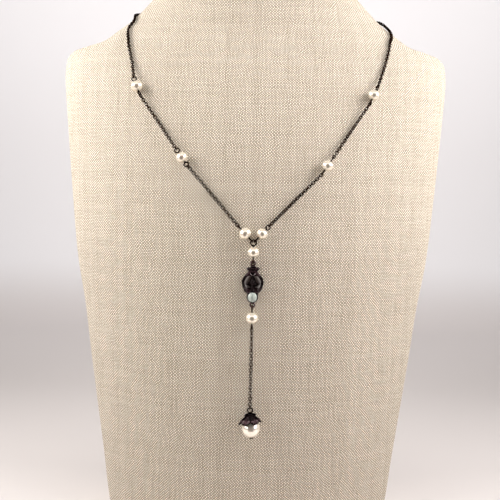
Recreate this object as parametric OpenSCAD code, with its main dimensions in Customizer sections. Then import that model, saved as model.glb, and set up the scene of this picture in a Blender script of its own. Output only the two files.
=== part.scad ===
// Lavaliere necklace on a plain neck bust: pearls on eye pins, cable chain,
// a cast medallion with a cabochon and a capped pearl drop. Millimetres, +Z up,
// front towards -Y, origin under the middle of the bust.

/* [Neck bust] */
// Height from the base to the flat top of the neck
bust_h = 350; // [320:5:380]
// Width across the shoulders
bust_w = 236.4; // [220:0.4:260]
// Depth from the chest to the back
bust_d = 128; // [116:1:140]

/* [Small pearls] */
// Width of a middling small pearl across its hole
pearl_w = 6.5; // [5.8:0.1:6.8]
// Length of a middling small pearl along its hole
pearl_l = 5.9; // [5:0.1:6.2]
// Width of the hole drilled through each pearl
hole_w = 1; // [0.98:0.02:1.3]

/* [Eye pins] */
// Thickness of the wire of the eye pins
pin_wire = 0.78; // [0.66:0.02:0.8]
// Outer width of an eye
eye_w = 3.4; // [3.3:0.1:3.8]
// Outer width of the eye that gathers both sides
junction_w = 3.9; // [3.8:0.1:4.3]
// Straight wire between a pearl and its eye
pin_neck = 0.3; // [0.3:0.05:1]
// More straight wire over the pearl under the medallion
long_neck = 0.9; // [0:0.1:1.5]

/* [Chain] */
// Outer length of a link
link_l = 2.78; // [2.7:0.02:3]
// Outer width of a link
link_w = 2.1; // [2.05:0.05:2.3]
// Thickness of the wire of a link
link_wire = 0.52; // [0.46:0.01:0.54]
// Length of the plain clasp at the nape
clasp_l = 10; // [8:0.5:14]

/* [Medallion] */
// Width of the frame
medal_w = 12.1; // [11:0.1:14]
// Height of the frame from the stone's bezel to its crown
medal_h = 13; // [12:0.25:15]
// Thickness of the cast body without its relief
medal_t = 1.8; // [1.6:0.1:2.4]
// Width of the raised rim of the frame
rim_w = 1.1; // [0.9:0.05:1.3]
// Width of the round stone
stone_w = 5.2; // [4.8:0.1:5.8]
// Thickness of the bezel wall round the stone
bezel_wall = 0.5; // [0.4:0.05:0.7]
// Outer width of the ring at each end
ring_w = 3.15; // [3.05:0.05:3.5]
// Thickness of the wire of those rings
ring_wire = 0.88; // [0.8:0.02:0.9]

/* [Drop] */
// Length of the chain that carries the drop
drop_l = 46; // [30:0.5:60]
// Width of the drop's pearl
drop_pearl_w = 10.1; // [9:0.1:12]
// Width of the leafy cap over that pearl
cap_w = 12; // [11:0.1:14]
// Height of the cap from its rim to its top
cap_h = 4.9; // [4.6:0.1:6.5]
// Outer width of the loop on the cap
loop_w = 3.5; // [3.4:0.1:4]

/* [Hidden] */
$fn = 48;

// Clearances: play between crossed links, between crossed rings, and the gap under
// what lies on a face
play = 0.14;
ring_play = 0.14;
seat = 0.2;

// Form of the bust, one row for each height. Columns: share of bust_h, half width
// as a share of bust_w / 2, then shares of bust_d for the front, the front and the
// back edge of the side, and the back, then how sharply the front meets the side
BUST_FORM = [
    [0, 0.68, 0.100, 0.330, 0.700, 0.825, 1.70],
    [0.006, 0.692, 0.090, 0.328, 0.704, 0.830, 1.70],
    [0.129, 0.743, 0.038, 0.315, 0.734, 0.867, 1.70],
    [0.286, 0.807, 0.008, 0.312, 0.758, 0.898, 1.70],
    [0.374, 0.842, 0.003, 0.320, 0.766, 0.914, 1.70],
    [0.457, 0.885, 0, 0.328, 0.773, 0.922, 1.70],
    [0.571, 0.924, 0.023, 0.359, 0.789, 0.930, 1.65],
    [0.671, 0.958, 0.078, 0.406, 0.789, 0.930, 1.50],
    [0.737, 0.983, 0.137, 0.453, 0.781, 0.922, 1.32],
    [0.774, 0.997, 0.180, 0.496, 0.758, 0.918, 1.17],
    [0.800, 1, 0.215, 0.543, 0.719, 0.914, 1.06],
    [0.817, 0.975, 0.238, 0.582, 0.680, 0.914, 1],
    [0.8245, 0.908, 0.248, 0.609, 0.645, 0.914, 0.83],
    [0.832, 0.835, 0.258, 0.622, 0.628, 0.916, 0.75],
    [0.854, 0.753, 0.277, 0.630, 0.636, 0.926, 0.85],
    [0.880, 0.666, 0.291, 0.638, 0.644, 0.941, 1.04],
    [0.909, 0.582, 0.302, 0.645, 0.651, 0.965, 1],
    [0.937, 0.512, 0.309, 0.653, 0.659, 0.984, 1],
    [0.966, 0.461, 0.309, 0.653, 0.659, 0.996, 1],
    [0.994, 0.450, 0.305, 0.653, 0.659, 1, 1],
    [1, 0.437, 0.318, 0.653, 0.659, 0.988, 1]
];
WIDTH = 1;
FRONT = 2;
SIDE_FRONT = 3;
SIDE_BACK = 4;
BACK = 5;
EDGE = 6;
// Rings of the solid up the whole form, and points on half a ring's front or back
RINGS = 35;
RING_HALF = 13;

// Where the necklace lies, as chosen points. An angle goes round the bust from 0 at
// the middle of the chest over 90 at the side to 180 at the back, left negative,
// and a height is a share of bust_h.
// Pearls at the sides: name, angle, height, lean of the pin from upright, turn of
// the upper and of the lower eye round the pin (0 shows its face, 90 its edge)
SIDE_PEARLS = [
    ["left_upper", -35.3, 0.7375, 27, 8, 78],
    ["left_lower", -20.8, 0.6205, 37, 10, 12],
    ["right_upper", 35.2, 0.7302, -29, 45, 60],
    ["right_lower", 21.2, 0.6120, -36, 80, 82]
];
// Chain from the upper pearl on each side up to the top of the shoulder: angle and
// height
RISE_LEFT = [
    [-37.5, 0.7800], [-38.6, 0.8000], [-40.3, 0.8138], [-45.0, 0.8246],
    [-52.8, 0.8360], [-57.7, 0.8490], [-61.4, 0.8636], [-66.0, 0.8720],
    [-75.0, 0.8815]
];
RISE_RIGHT = [
    [39.0, 0.7780], [40.4, 0.7990], [42.2, 0.8130], [45.6, 0.8220],
    [52.6, 0.8300], [60.6, 0.8425], [66.5, 0.8545], [73.0, 0.8660],
    [81.0, 0.8770]
];
// Hidden stretch over the shoulder and round the nape on each side
NAPE_LEFT = [
    [-90, 0.8910], [-102, 0.8945], [-114, 0.8950], [-126, 0.8935],
    [-139, 0.8900], [-152, 0.8850], [-165, 0.8795]
];
NAPE_RIGHT = [
    [90, 0.8855], [102, 0.8903], [114, 0.8925], [126, 0.8925],
    [139, 0.8900], [152, 0.8850], [165, 0.8795]
];
NAPE_HEIGHT = 0.877;

// Size of each small pearl as a share of pearl_w and pearl_l
PEARL_SIZES = [
    ["left_upper", 1.04], ["left_lower", 1], ["left_centre", 1.05],
    ["right_upper", 1], ["right_lower", 0.98], ["right_centre", 0.95],
    ["over_medallion", 0.96], ["under_medallion", 1.05]
];

// Height of the eye where both sides meet, as a share of bust_h
JUNCTION_HEIGHT = 0.4905;
JUNCTION_X = 0.6;
// Lean of the two centre pearls' pins and turn of their upper eyes
LEAN_LEFT = 44;
LEAN_RIGHT = -43;
TURN_LEFT = 84;
TURN_RIGHT = 30;
// Turn of the two eyes that hold the medallion, and of the eye over the drop chain
TURN_MEDAL = 84;
TURN_DROP = 80;
// How far the gathering eye stands before the pearls beside it
JUNCTION_RISE = 0.6;
// How far the medallion's rings lie nearer the bust than the eyes in them
RING_SINK = 0.3;
// Lean of the drop, which swings a little to the right
DROP_LEAN = 4;
// Height of the crown over the medallion's frame, and the share of the bezel's
// radius at which the foot of the frame meets it
CROWN_RISE = 2.45;
FOOT_SHARE = 0.62;
// Height of the cap's rim as a share of the drop pearl's width, and the straight
// wire between the cap and the loop over it
CAP_SHARE = 0.3;
LOOP_NECK = 0.45;

eye_r = (eye_w - pin_wire) / 2;
junction_r = (junction_w - pin_wire) / 2;
ring_r = (ring_w - ring_wire) / 2;
loop_r = (loop_w - pin_wire) / 2;
pin_reach = pearl_l / 2 + pin_neck + eye_w / 2;
junction_reach = pearl_l / 2 + pin_neck + junction_w / 2;
long_reach = pin_reach + long_neck;
pearl_lift = pearl_w / 2 * max([for (row = PEARL_SIZES) row[1]]) + seat;
chain_lift = link_w / 2 + 1.5 * seat;
link_step = link_l - 2 * link_wire - play;
tube_w = 0.9 * link_w;
// Distance before the chest plane of the eyes at the medallion and of the drop
ring_lift = pearl_lift - JUNCTION_RISE * pin_reach / junction_reach;
drop_lift = pearl_lift + (pearl_lift - ring_lift) * pin_reach / long_reach;
// The chest plane is set so that bust and drop together stand centred on the origin
chest_y = -(bust_d - drop_lift - cap_w / 2) / 2;

// Value of a table's column at a key of column 0, on a smooth curve that never
// overshoots its rows
function rise(t, c, k) = (t[k + 1][c] - t[k][c]) / (t[k + 1][0] - t[k][0]);
function blend(a, b) = a * b <= 0 ? 0 : 2 * a * b / (a + b);
function row_of(t, v) = max([0, for (k = [0 : len(t) - 2]) if (t[k][0] <= v) k]);
function value(t, c, v) =
    let (
        k = row_of(t, v),
        h = t[k + 1][0] - t[k][0],
        u = max(0, min(1, (v - t[k][0]) / h)),
        m0 = k == 0 ? rise(t, c, 0) : blend(rise(t, c, k - 1), rise(t, c, k)),
        m1 = k == len(t) - 2 ? rise(t, c, k) : blend(rise(t, c, k), rise(t, c, k + 1))
    )
    (2 * pow(u, 3) - 3 * u * u + 1) * t[k][c] + (pow(u, 3) - 2 * u * u + u) * h * m0
    + (3 * u * u - 2 * pow(u, 3)) * t[k + 1][c] + (pow(u, 3) - u * u) * h * m1;
function form(c, z) = value(BUST_FORM, c, z / bust_h);
function half_w(z) = form(WIDTH, z) * bust_w / 2;

// Point of the bust's skin at an angle round it and a height, and the way out there
function skin(a, z) =
    let (
        edge = pow(abs(cos(a)), form(EDGE, z)),
        y = abs(a) <= 90
            ? form(SIDE_FRONT, z) - (form(SIDE_FRONT, z) - form(FRONT, z)) * edge
            : form(SIDE_BACK, z) + (form(BACK, z) - form(SIDE_BACK, z)) * edge
    )
    [half_w(z) * sin(a), chest_y + y * bust_d, z];
function unit(v) = v / norm(v);
function out(a, z) = unit(cross(skin(a + 1, z) - skin(a - 1, z), skin(a, z + 0.5) - skin(a, z - 0.5)));
function lay(a, z, lift) = skin(a, z) + lift * out(a, z);
function front_y(x, z) = skin(asin(max(-1, min(1, x / half_w(z)))), z)[1];

// Frame of a pin: its middle, then side, inward and upward directions
function pin_frame(middle, down, outward) =
    let (up = -unit(down), inward = -unit(outward - (outward * up) * up))
    [middle, cross(inward, up), inward, up];
function side_frame(row) =
    let (
        z = row[2] * bust_h,
        n = out(row[1], z),
        up = unit([0, 0, 1] - n[2] * n),
        side = cross(up, n)
    )
    pin_frame(lay(row[1], z, pearl_lift), sin(row[3]) * side - cos(row[3]) * up, n);
function along(frame, s) = frame[0] + s * frame[3];
function placed(frame) = [
    for (r = [0 : 2]) [frame[1][r], frame[2][r], frame[3][r], frame[0][r]]
];

// Distance between the middles of two crossed rings pulled taut, where a lies h off
// the middle plane of b
function taut(ra, wa, rb, wb, h) = rb + sqrt(pow(ra - (wa + wb) / 2 - ring_play, 2) - h * h);

// Centre of the necklace, in the upright plane before the chest
function hung(x, z, lift) = [x, chest_y - lift, z];
junction_lift = pearl_lift + JUNCTION_RISE;
junction = hung(JUNCTION_X, JUNCTION_HEIGHT * bust_h, junction_lift);
// Pin of a centre pearl: from the junction up and out, sloping back to the skin
function centre_frame(lean) =
    let (
        hook = taut(eye_r, pin_wire, junction_r, pin_wire, 0),
        way = [-sin(lean), 0, cos(lean)],
        eye = junction + hook * way,
        foot = eye + pin_reach * way,
        slope = asin((junction_lift - pearl_lift + front_y(foot[0], foot[2]) - chest_y) / pin_reach),
        up = cos(slope) * way + [0, sin(slope), 0]
    )
    pin_frame(eye + pin_reach * up, -up, [0, -1, 0]);
over_tilt = asin(JUNCTION_RISE / junction_reach);
over_frame = pin_frame(
    junction + junction_reach * [0, sin(over_tilt), -cos(over_tilt)],
    [0, sin(over_tilt), -cos(over_tilt)],
    [0, -1, 0]
);
over_eye = along(over_frame, -pin_reach);
ring_hold = taut(eye_r, pin_wire, ring_r, ring_wire, RING_SINK);
medal_lift = ring_lift - RING_SINK - medal_t / 2;
// Heights on the medallion, from the middle of its stone
bezel_r = stone_w / 2 + play + bezel_wall;
frame_foot = FOOT_SHARE * bezel_r;
crown_z = frame_foot + medal_h;
top_ring_z = crown_z + CROWN_RISE + ring_r;
foot_ring_z = -(bezel_r + ring_r);
stone_z = over_eye[2] - ring_hold - top_ring_z;
under_eye = hung(JUNCTION_X, stone_z + foot_ring_z - ring_hold, ring_lift);
under_tilt = asin((pearl_lift - ring_lift) / long_reach);
under_frame = pin_frame(
    under_eye + long_reach * [0, -sin(under_tilt), -cos(under_tilt)],
    [0, -sin(under_tilt), -cos(under_tilt)],
    [0, -1, 0]
);
drop_eye = along(under_frame, -pin_reach);

// Heights on the drop, from the middle of its pearl
cap_foot = CAP_SHARE * drop_pearl_w;
cap_top = cap_foot + cap_h;
loop_z = cap_top + LOOP_NECK + loop_w / 2;
drop_loop = [drop_eye[0], drop_eye[1], drop_eye[2] - drop_l];

function pearl_frame(name) =
    name == "left_centre" ? centre_frame(LEAN_LEFT)
    : name == "right_centre" ? centre_frame(LEAN_RIGHT)
    : name == "over_medallion" ? over_frame
    : name == "under_medallion" ? under_frame
    : side_frame([for (row = SIDE_PEARLS) if (row[0] == name) row][0]);

// Smooth curve through points, with n steps from each to the next, and the place at
// a length along it
FINE = 8;
function knot(p, k) = k < 0 ? 2 * p[0] - p[1] : k >= len(p) ? 2 * p[len(p) - 1] - p[len(p) - 2] : p[k];
function curve(p, k, u) =
    let (a = knot(p, k - 1), b = knot(p, k), c = knot(p, k + 1), d = knot(p, k + 2))
    b + 0.5 * u * ((c - a) + u * ((2 * a - 5 * b + 4 * c - d) + u * (3 * (b - c) + d - a)));
function fine(p, n) = [
    for (k = [0 : len(p) - 2], j = [0 : n - 1]) curve(p, k, j / n),
    p[len(p) - 1]
];
// Points of a route over the skin from its rows of angle and height
function laid(rows, lift) = [for (r = rows) lay(r[0], r[1] * bust_h, lift)];
function lengths(q) = [
    for (k = 0, s = 0; k < len(q); k = k + 1, s = s + (k < len(q) ? norm(q[k] - q[k - 1]) : 0)) s
];
function place(q, runs, s) =
    let (
        k = min(len(q) - 2, max([0, for (j = [0 : len(q) - 1]) if (runs[j] <= s) j])),
        u = (s - runs[k]) / (runs[k + 1] - runs[k])
    )
    q[k] + u * (q[k + 1] - q[k]);

// Chain lying on the chest between two points, easing down from them to the skin over
// a few links
EASE = 9 * link_l;
function rest_y(p) =
    let (a = asin(p[0] / half_w(p[2])))
    skin(a, p[2])[1] + chain_lift / out(a, p[2])[1];
function drape(a, b) =
    let (
        n = 10,
        ease = EASE / norm(b - a),
        drop_a = rest_y(a) - a[1],
        drop_b = rest_y(b) - b[1]
    )
    [
        for (k = [0 : n])
            let (
                c = a + k / n * (b - a),
                up_a = pow(max(0, 1 - k / n / ease), 2),
                up_b = pow(max(0, 1 - (1 - k / n) / ease), 2)
            )
            [c[0], rest_y(c) - drop_a * up_a - drop_b * up_b, c[2]]
    ];

// Neck bust: rings of the form stacked from the base to the neck's flat top
function half_ring(z, turn) = [
    for (k = [-RING_HALF : RING_HALF])
        let (a = 90 * k / RING_HALF)
        k == -RING_HALF || k == RING_HALF
            ? [
                half_w(z) * sign(k) * turn,
                chest_y + form(turn > 0 ? SIDE_FRONT : SIDE_BACK, z) * bust_d,
                z
            ]
            : skin(turn > 0 ? a : 180 + a, z)
];
function ring_levels() = [
    for (k = [0 : len(BUST_FORM) - 2])
        let (
            low = BUST_FORM[k][0] * bust_h,
            high = BUST_FORM[k + 1][0] * bust_h,
            n = max(1, round((high - low) / bust_h * RINGS))
        )
        for (j = [0 : n - 1]) low + (high - low) * j / n,
    bust_h
];

module neck_bust() {
    levels = ring_levels();
    per = 2 * (2 * RING_HALF + 1);
    points = [for (z = levels) each concat(half_ring(z, 1), half_ring(z, -1))];
    walls = [
        for (r = [0 : len(levels) - 2], k = [0 : per - 1])
            let (a = r * per + k, b = r * per + (k + 1) % per)
            each [[a, a + per, b + per], [a, b + per, b]]
    ];
    foot = [for (k = [0 : per - 1]) k];
    top = [for (k = [per - 1 : -1 : 0]) (len(levels) - 1) * per + k];
    color("#d8c7b2") polyhedron(points, concat(walls, [foot, top]), convexity = 4);
}

// Ring of round wire in the XZ plane
module eye(r, wire) {
    rotate([90, 0, 0]) rotate_extrude() translate([r, 0]) circle(d = wire);
}

// Pearl a little shorter along its hole than across it
module pearl(name) {
    size = [for (row = PEARL_SIZES) if (row[0] == name) row[1]][0];
    color("#f1e6d6") multmatrix(placed(pearl_frame(name))) difference() {
        scale([1, 1, pearl_l / pearl_w]) sphere(d = size * pearl_w);
        cylinder(d = hole_w, h = pearl_l + 2, center = true);
    }
}

// Eye pin: straight wire through a pearl with an eye turned at each end
module eyepin(frame, turn_up, turn_down, top_r, top) {
    color("#4a3830") multmatrix(placed(frame)) {
        rotate([0, 0, turn_up]) translate([0, 0, top]) eye(top_r, pin_wire);
        rotate([0, 0, turn_down]) translate([0, 0, -pin_reach]) eye(eye_r, pin_wire);
        translate([0, 0, -(pin_reach - eye_r)])
            cylinder(d = pin_wire, h = top - top_r + pin_reach - eye_r);
    }
}

// Oval link in the XY plane: two half rings joined by two straight wires
module link() {
    bend = (link_w - link_wire) / 2;
    straight = (link_l - link_w) / 2;
    for (turn = [0, 180])
        rotate([0, 0, turn]) translate([straight, 0, 0]) rotate([0, 0, -90])
            rotate_extrude(angle = 180) translate([bend, 0]) circle(d = link_wire);
    for (side = [-1, 1])
        translate([-straight, side * bend, 0]) rotate([0, 90, 0]) cylinder(d = link_wire, h = 2 * straight);
}

// Way that an eye faces when it is turned round its pin, and the middle of a ring's
// wire on the side towards a point
function eye_face(frame, turn) = cos(turn) * frame[2] - sin(turn) * frame[1];
function hooked(middle, face, r, to) =
    let (d = to - middle)
    middle + r * unit(d - (d * face) * face);
// Distance from the middle of a ring's wire to the middle of the first link on it
hook_step = (link_l - link_wire) / 2 - (pin_wire + link_wire) / 2 - ring_play;

// Frame of a link on its route, facing away from the bust's middle line
function link_frame(q, runs, s) =
    let (
        at = place(q, runs, s),
        way = unit(place(q, runs, s + link_l / 6) - place(q, runs, s - link_l / 6)),
        off = at - [0, chest_y + bust_d / 2, at[2]],
        face = unit(off - (off * way) * way)
    )
    [at, cross(face, way), face, way];
function link_turn(frame, face) = atan2(-face * frame[1], face * frame[2]);

// Links along a route, each turned a quarter from the last. The end links cross the
// rings that they hang in, and the spare turn between them is spread over the chain.
// A chain with no second ring ends free.
module chain(route, face_a, face_b, finish) {
    q = fine(route, FINE);
    runs = lengths(q);
    span = runs[len(runs) - 1] - hook_step - finish;
    n = ceil(span / link_step) + 1;
    turn = link_turn(link_frame(q, runs, hook_step), face_a);
    turn_b = is_undef(face_b) ? turn : link_turn(link_frame(q, runs, hook_step + span), face_b);
    spare = turn_b - turn - 90 * (n - 1);
    twist = spare - 180 * round(spare / 180);
    color("#3d2c24")
        for (i = [0 : n - 1])
            multmatrix(placed(link_frame(q, runs, hook_step + span * i / (n - 1))))
                rotate([0, 0, turn + 90 * i + twist * i / (n - 1)]) rotate([0, -90, 0]) link();
}

// Plain round cord in place of the hidden links, eight sided
module back_tube(side) {
    rise = side < 0 ? RISE_LEFT : RISE_RIGHT;
    stop_a = 180 - asin((clasp_l / 2 + seat) / half_w(NAPE_HEIGHT * bust_h));
    rows = concat(
        [rise[len(rise) - 1]],
        side < 0 ? NAPE_LEFT : NAPE_RIGHT,
        [[side * stop_a, NAPE_HEIGHT]]
    );
    sides = 8;
    q = fine(laid(rows, chain_lift + seat), 3);
    points = [
        for (k = [0 : len(q) - 1])
            let (
                way = unit(q[min(k + 1, len(q) - 1)] - q[max(k - 1, 0)]),
                over = unit([0, 0, 1] - way[2] * way),
                across = cross(way, over)
            )
            for (j = [0 : sides - 1])
                let (a = 360 * j / sides)
                q[k] + tube_w / 2 * (cos(a) * across + sin(a) * over)
    ];
    walls = [
        for (k = [0 : len(q) - 2], j = [0 : sides - 1])
            let (a = k * sides + j, b = k * sides + (j + 1) % sides)
            [a, a + sides, b + sides, b]
    ];
    first = [for (j = [0 : sides - 1]) j];
    end = [for (j = [sides - 1 : -1 : 0]) (len(q) - 1) * sides + j];
    color("#3d2c24") polyhedron(points, concat(walls, [first, end]));
}

// Plain clasp at the nape, a rounded bar
module clasp() {
    wide = clasp_l / 3;
    thick = link_w;
    color("#4a3830") translate(lay(180, NAPE_HEIGHT * bust_h, thick / 2 + 2 * seat)) intersection() {
        cube([clasp_l, thick, wide], center = true);
        rotate([90, 0, 0]) linear_extrude(thick, center = true) union() {
            square([clasp_l - wide, wide], center = true);
            for (s = [-1, 1]) translate([s * (clasp_l - wide) / 2, 0]) circle(d = wide);
        }
    }
}

// Frame of the medallion from foot to crown. Columns: share of medal_h, half width
// as a share of medal_w / 2
MEDAL_FORM = [
    [0, 0.50], [0.08, 0.68], [0.18, 0.81], [0.31, 0.93], [0.45, 1],
    [0.58, 0.965], [0.76, 0.75], [0.92, 0.43], [1, 0.33]
];
function medal_half(share) = value(MEDAL_FORM, 1, share) * medal_w / 2;
function medal_outline(inset, from, to) =
    let (
        n = 16,
        side = [
            for (k = [0 : n])
                let (share = from + (to - from) * k / n)
                [medal_half(share) - inset, frame_foot + share * medal_h]
        ]
    )
    concat(side, [for (k = [n : -1 : 0]) [-side[k][0], side[k][1]]]);
// Half of a shape that is the same on both sides, made whole
function both_sides(half) = concat(half, [for (k = [len(half) - 1 : -1 : 0]) [-half[k][0], half[k][1]]]);

// Pointed leaf in the middle of the frame, as shares of medal_w / 2 and medal_h
LEAF = [
    [0.15, 0.1], [0.15, 0.22], [0.22, 0.31], [0.46, 0.4], [0.5, 0.45],
    [0.27, 0.5], [0.2, 0.6], [0.1, 0.68], [0.02, 0.74]
];
// Bud under the crown, and the crown with its two side leaves, in the same shares
BUD = [[0.02, 0.735], [0.17, 0.79], [0.28, 0.86], [0.29, 0.93], [0.2, 0.98]];
CROWN = [
    [0.33, 0.96], [0.47, 1.0], [0.44, 1.05], [0.62, 1.09],
    [0.43, 1.175], [0.28, 1.16], [0.15, 1.21]
];
function medal_shape(rows) = both_sides([
    for (p = rows) [p[0] * medal_w / 2, frame_foot + p[1] * medal_h]
]);

// Raised curl of round wire lying in the face of the medallion on one side of it,
// running round from an angle and open over a gap
CURL_R = 0.75;
CURL_WIRE = 0.55;
module curl(side, at, start, gap) {
    translate([side * medal_w * at[0], frame_foot + medal_h * at[1], medal_t]) rotate([0, 0, start])
        rotate_extrude(angle = 360 - gap) translate([CURL_R, 0]) circle(d = CURL_WIRE);
}

// Floor of the recesses, and height of the relief over the cast body
floor_t = medal_t / 2;
RELIEF = 0.35;
// Shares of the rim's width between which its ridge stands
RIDGE_OUT = 0.3;
RIDGE_IN = 0.7;
// Width of the leaf's raised middle, and of the bud's hollow with its middle height
LEAF_RIDGE = 0.45;
BUD_HOLLOW = 0.55;
BUD_MIDDLE = 0.865;
// Places of the curls: half width as a share of medal_w, height as a share of medal_h
CROWN_CURL = [0.17, 1.09];
SIDE_CURL = [0.31, 0.16];
// Gaps of the crown's curls and of the side curls, and lean of the crown's curls
CROWN_GAP = 110;
SIDE_GAP = 60;
CURL_LEAN = 30;

module medallion() {
    hollow = [
        for (p = BUD) [p[0] * BUD_HOLLOW, BUD_MIDDLE + (p[1] - BUD_MIDDLE) * BUD_HOLLOW]
    ];
    color("#4b3a3a") translate(hung(JUNCTION_X, stone_z, medal_lift)) rotate([90, 0, 0]) {
        // Back plate and raised rim
        linear_extrude(floor_t) polygon(medal_outline(0, 0, 1));
        difference() {
            linear_extrude(medal_t) polygon(medal_outline(0, 0, 1));
            translate([0, 0, floor_t]) linear_extrude(medal_t) polygon(medal_outline(rim_w, 0.1, 0.9));
            cylinder(r = bezel_r - bezel_wall / 2, h = medal_t * 3, center = true);
        }
        linear_extrude(medal_t + RELIEF) difference() {
            polygon(medal_outline(rim_w * RIDGE_OUT, 0.1, 0.93));
            polygon(medal_outline(rim_w * RIDGE_IN, 0.05, 0.95));
        }
        // Leaf, bud and crown
        linear_extrude(medal_t - RELIEF) polygon(medal_shape(LEAF));
        linear_extrude(medal_t + RELIEF) polygon(medal_shape([for (p = LEAF) [p[0] * LEAF_RIDGE, p[1]]]));
        difference() {
            linear_extrude(medal_t + 2 * RELIEF) polygon(medal_shape(BUD));
            translate([0, 0, medal_t]) linear_extrude(medal_t) polygon(medal_shape(hollow));
        }
        linear_extrude(medal_t) polygon(medal_shape(CROWN));
        for (s = [-1, 1]) {
            curl(s, CROWN_CURL, 90 - s * CURL_LEAN, CROWN_GAP);
            curl(s, SIDE_CURL, 0, SIDE_GAP);
        }
        // Bezel with its floor, and the two rings
        difference() {
            cylinder(r = bezel_r, h = medal_t + RELIEF);
            translate([0, 0, floor_t]) cylinder(r = stone_w / 2 + play, h = medal_t * 2);
        }
        for (z = [top_ring_z, foot_ring_z])
            translate([0, z, medal_t / 2]) rotate([-90, 0, 0]) eye(ring_r, ring_wire);
    }
}

// Cabochon: low straight girdle under a shallow dome, as shares of the stone's width
GIRDLE = 0.19;
DOME = 0.18;
module medallion_stone() {
    girdle = GIRDLE * stone_w;
    dome = DOME * stone_w;
    dome_r = (pow(stone_w / 2, 2) + dome * dome) / (2 * dome);
    color("#b9c2b4") translate(hung(JUNCTION_X, stone_z, medal_lift)) rotate([90, 0, 0])
        translate([0, 0, floor_t + play]) {
            cylinder(d = stone_w, h = girdle);
            intersection() {
                translate([0, 0, girdle]) cylinder(d = stone_w, h = dome);
                translate([0, 0, girdle + dome - dome_r]) sphere(r = dome_r);
            }
        }
}

// Frame of the drop, hung from its loop and leaning a little
module hang_drop() {
    translate(drop_loop) rotate([0, -DROP_LEAN, 0]) translate([0, 0, -loop_z]) children();
}

// Cap: bell with leaves parted by notches, a curl and a pointed tip on each leaf
LEAVES = 6;
CAP_WALL = 0.6;
// Bell outline, as shares of the cap's radius and height
BELL = [
    [0.50, 1], [0.53, 0.96], [0.53, 0.88], [0.49, 0.82], [0.57, 0.69],
    [0.70, 0.52], [0.83, 0.33], [0.94, 0.14], [1, 0]
];
// Rows of the bell that have an inner side, and height of its solid top as a share
BELL_INNER = 5;
BELL_TOP = 0.45;
// Width of a notch, and how far its middle lies under the rim
NOTCH_W = 2;
NOTCH_DROP = 0.25;
// Curl of a leaf: place as shares of the cap's radius and height, radius and tilt
LEAF_CURL = [0.76, 0.5];
LEAF_CURL_R = 1;
LEAF_CURL_TILT = 52;
// Tip of a leaf: length, widths at its root and point, tilt, and its root's place in
// from the rim and up from it
TIP_L = 0.9;
TIP_ROOT = 1.3;
TIP_POINT = 0.2;
TIP_TILT = 118;
TIP_IN = 0.45;
TIP_UP = 0.25;

module drop_cap() {
    r = cap_w / 2;
    outer = [for (p = BELL) [p[0] * r, cap_foot + p[1] * cap_h]];
    inner = [
        for (k = [len(BELL) - 1 : -1 : BELL_INNER])
            [BELL[k][0] * r - CAP_WALL, cap_foot + BELL[k][1] * cap_h]
    ];
    color("#473838") hang_drop() {
        difference() {
            rotate_extrude() polygon(concat(
                [[0, cap_top]], outer, inner, [[0, cap_foot + BELL_TOP * cap_h]]
            ));
            sphere(r = drop_pearl_w / 2 + play);
            cylinder(d = hole_w, h = 3 * cap_top, center = true);
            for (k = [0 : LEAVES - 1])
                rotate([0, 0, 360 * k / LEAVES - 90]) translate([0, 0, cap_foot - NOTCH_DROP])
                    rotate([0, 90, 0]) cylinder(d = NOTCH_W, h = cap_w);
        }
        for (k = [0 : LEAVES - 1])
            rotate([0, 0, 360 * (k + 0.5) / LEAVES - 90]) {
                translate([r * LEAF_CURL[0], 0, cap_foot + cap_h * LEAF_CURL[1]])
                    rotate([0, LEAF_CURL_TILT, 0])
                    rotate_extrude() translate([LEAF_CURL_R, 0]) circle(d = CURL_WIRE);
                translate([r - TIP_IN, 0, cap_foot + TIP_UP]) rotate([0, TIP_TILT, 0])
                    cylinder(d1 = TIP_ROOT, d2 = TIP_POINT, h = TIP_L);
            }
    }
}

module drop_pearl() {
    color("#efe4d8") hang_drop() difference() {
        sphere(d = drop_pearl_w);
        cylinder(d = hole_w, h = drop_pearl_w + 2, center = true);
    }
}

// Head pin: flat head under the pearl, wire through pearl and cap, a turn of the wire
// on the cap and the loop over it
HEAD_W = 1.8;
HEAD_T = 0.45;
TURN_W = 1.7;
TURN_T = 0.5;
module drop_pin() {
    foot = -drop_pearl_w / 2 - play;
    color("#4a3830") hang_drop() {
        translate([0, 0, foot - HEAD_T]) cylinder(d = HEAD_W, h = HEAD_T);
        translate([0, 0, foot]) cylinder(d = pin_wire, h = loop_z - loop_r - foot);
        translate([0, 0, cap_top + play]) cylinder(d = TURN_W, h = TURN_T);
        translate([0, 0, loop_z]) eye(loop_r, pin_wire);
    }
}

// Turns of the eyes of a pearl's pin, the upper one first
function turns(name) =
    name == "left_centre" ? [TURN_LEFT, 90]
    : name == "right_centre" ? [TURN_RIGHT, 90]
    : name == "over_medallion" ? [0, TURN_MEDAL]
    : name == "under_medallion" ? [TURN_MEDAL, TURN_DROP]
    : [for (row = SIDE_PEARLS) if (row[0] == name) [row[4], row[5]]][0];

module pearl_pin(name) {
    top_r = name == "over_medallion" ? junction_r : eye_r;
    top = name == "over_medallion" ? junction_reach
        : name == "under_medallion" ? long_reach
        : pin_reach;
    eyepin(pearl_frame(name), turns(name)[0], turns(name)[1], top_r, top);
}

// Chain from the lower eye of one pearl down to the upper eye of the next
module side_chain(name_a, name_b) {
    eye_a = along(pearl_frame(name_a), -pin_reach);
    eye_b = along(pearl_frame(name_b), pin_reach);
    face_a = eye_face(pearl_frame(name_a), turns(name_a)[1]);
    face_b = eye_face(pearl_frame(name_b), turns(name_b)[0]);
    route = drape(hooked(eye_a, face_a, eye_r, eye_b), hooked(eye_b, face_b, eye_r, eye_a));
    chain(route, face_a, face_b, hook_step);
}

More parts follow.
